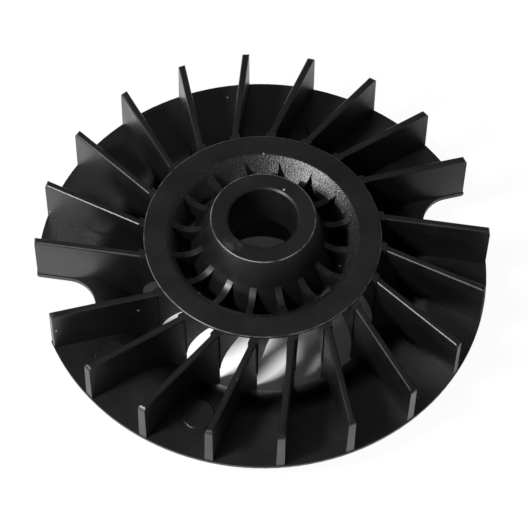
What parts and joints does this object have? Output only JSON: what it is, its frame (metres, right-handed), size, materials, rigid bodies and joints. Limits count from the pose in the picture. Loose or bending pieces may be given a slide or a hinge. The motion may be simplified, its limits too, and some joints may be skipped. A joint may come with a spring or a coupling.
{
  "type": "radial cooling fan",
  "caption": "Moulded centrifugal cooling fan with straight swept blades on a notched disc, a raised ribbed hub dish and a plain central bore.",
  "frame": {"origin": "centre of the inlet throat's lower rim, on which the fan rests, on the bore axis", "axes": "+Z along the bore axis, from the inlet throat towards the hub's raised end"},
  "size_m": [0.1, 0.1, 0.0279],
  "materials": {
    "moulded_black_nylon": "satin moulded, glass-filled"
  },
  "bodies": {
    "root": {"cooling_fan": "moulded_black_nylon"}
  },
  "joints": []
}
